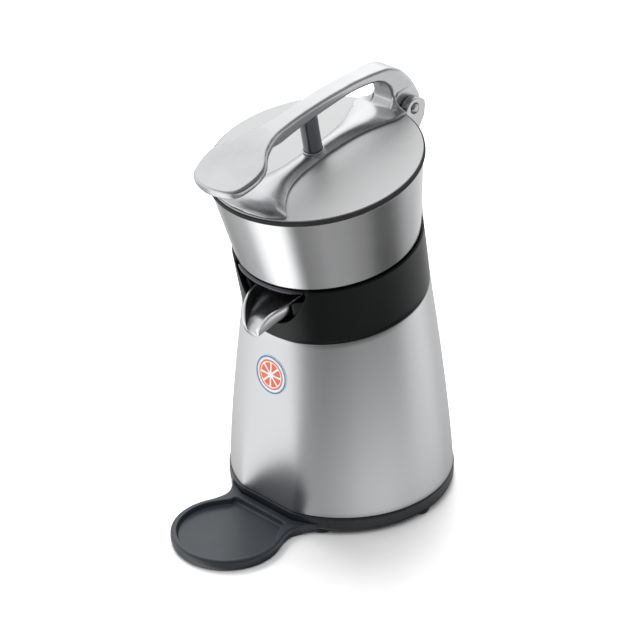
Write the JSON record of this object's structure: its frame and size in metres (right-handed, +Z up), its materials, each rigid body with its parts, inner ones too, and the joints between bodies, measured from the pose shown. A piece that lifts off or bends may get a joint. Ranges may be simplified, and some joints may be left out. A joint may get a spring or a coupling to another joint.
{
  "type": "citrus press juicer",
  "caption": "Upright citrus press with a hinged lid and thumb lever, polished bowl with a pouring spout, black collar, brushed steel body and a round drip tray.",
  "frame": {"origin": "on the standing surface, at the middle of the footprint of body and drip tray", "axes": "+Z up, -Y to the front where the spout and tray are, +X to the right hand of the machine"},
  "size_m": [0.2, 0.2918, 0.3817],
  "materials": {
    "shell_steel": "vertical brushed",
    "bowl_steel": "mirror polished",
    "cast_aluminium": "satin cast",
    "lid_steel": "satin",
    "collar_gloss": "glossy black",
    "black_plastic": "moulded",
    "tray_plastic": "satin moulded",
    "black_rubber": "matte",
    "dark_steel": "dark polished",
    "screw_steel": "zinc plated",
    "lamination": "stacked sheet",
    "white_nylon": "moulded",
    "badge_enamel": "enamel",
    "brass": "bright"
  },
  "bodies": {
    "base": {"body_shell": "shell_steel", "badge": "badge_enamel", "base_plate": "black_plastic", "foot_1": "black_rubber", "foot_2": "black_rubber", "foot_3": "black_rubber", "foot_4": "black_rubber", "foot_screw_1": "screw_steel", "foot_screw_2": "screw_steel", "foot_screw_3": "screw_steel", "foot_screw_4": "screw_steel", "rear_panel": "black_plastic", "power_inlet": "black_plastic", "inlet_pin_line": "brass", "inlet_pin_neutral": "brass", "inlet_pin_earth": "brass", "motor_deck": "cast_aluminium", "upper_shield": "cast_aluminium", "upper_bearing": "screw_steel", "stator": "lamination", "lower_shield": "cast_aluminium", "lower_bearing": "screw_steel", "deck_screw_1": "screw_steel", "deck_screw_2": "screw_steel", "deck_screw_3": "screw_steel", "run_capacitor": "white_nylon", "terminal_block": "white_nylon", "collar": "collar_gloss", "juice_bowl": "bowl_steel", "juice_collector": "collar_gloss", "strainer": "bowl_steel", "shaft_seal": "black_rubber", "spout": "bowl_steel", "hinge_column": "cast_aluminium", "hinge_pin": "dark_steel", "column_screw_1": "screw_steel", "column_screw_2": "screw_steel"},
    "drive": {"rotor": "lamination", "motor_shaft": "dark_steel", "cooling_fan": "white_nylon", "reamer": "white_nylon", "drive_coupling": "dark_steel"},
    "lever": {"lever": "cast_aluminium", "lid": "lid_steel", "lid_gasket": "black_rubber", "guide_post": "dark_steel", "post_ring": "screw_steel", "lid_screw_1": "screw_steel", "lid_screw_2": "screw_steel", "lid_screw_3": "screw_steel", "lid_screw_4": "screw_steel"},
    "press_cup": {"pressing_cup": "cast_aluminium", "cup_rod": "dark_steel", "cup_spring": "screw_steel"},
    "tray": {"drip_tray": "tray_plastic"},
    "rocker": {"power_rocker": "black_plastic"}
  },
  "joints": [
    {"name": "drive_spin", "type": "hinge", "parent": "base", "child": "drive", "pos_m": [0, 0.0459, 0.1533], "axis": [0, -0.1994, 0.9799], "continuous": true},
    {"name": "lever_hinge", "type": "hinge", "parent": "base", "child": "lever", "pos_m": [0, 0.1119, 0.34001], "axis": [-1, 0, 0], "range_deg": [0, 95]},
    {"name": "cup_travel", "type": "slide", "parent": "lever", "child": "press_cup", "axis": [0, -0.1994, 0.9799], "range_m": [0, 0.008], "stiffness_N_per_m": 1500, "springref_m": -0.004, "deforming": ["cup_spring"]},
    {"name": "tray_slide", "type": "slide", "parent": "base", "child": "tray", "axis": [0, -1, 0], "range_m": [0, 0.06]},
    {"name": "rocker_tilt", "type": "hinge", "parent": "base", "child": "rocker", "pos_m": [0.017, 0.1369, 0.038], "axis": [1, 0, 0], "range_deg": [0, 18]}
  ]
}
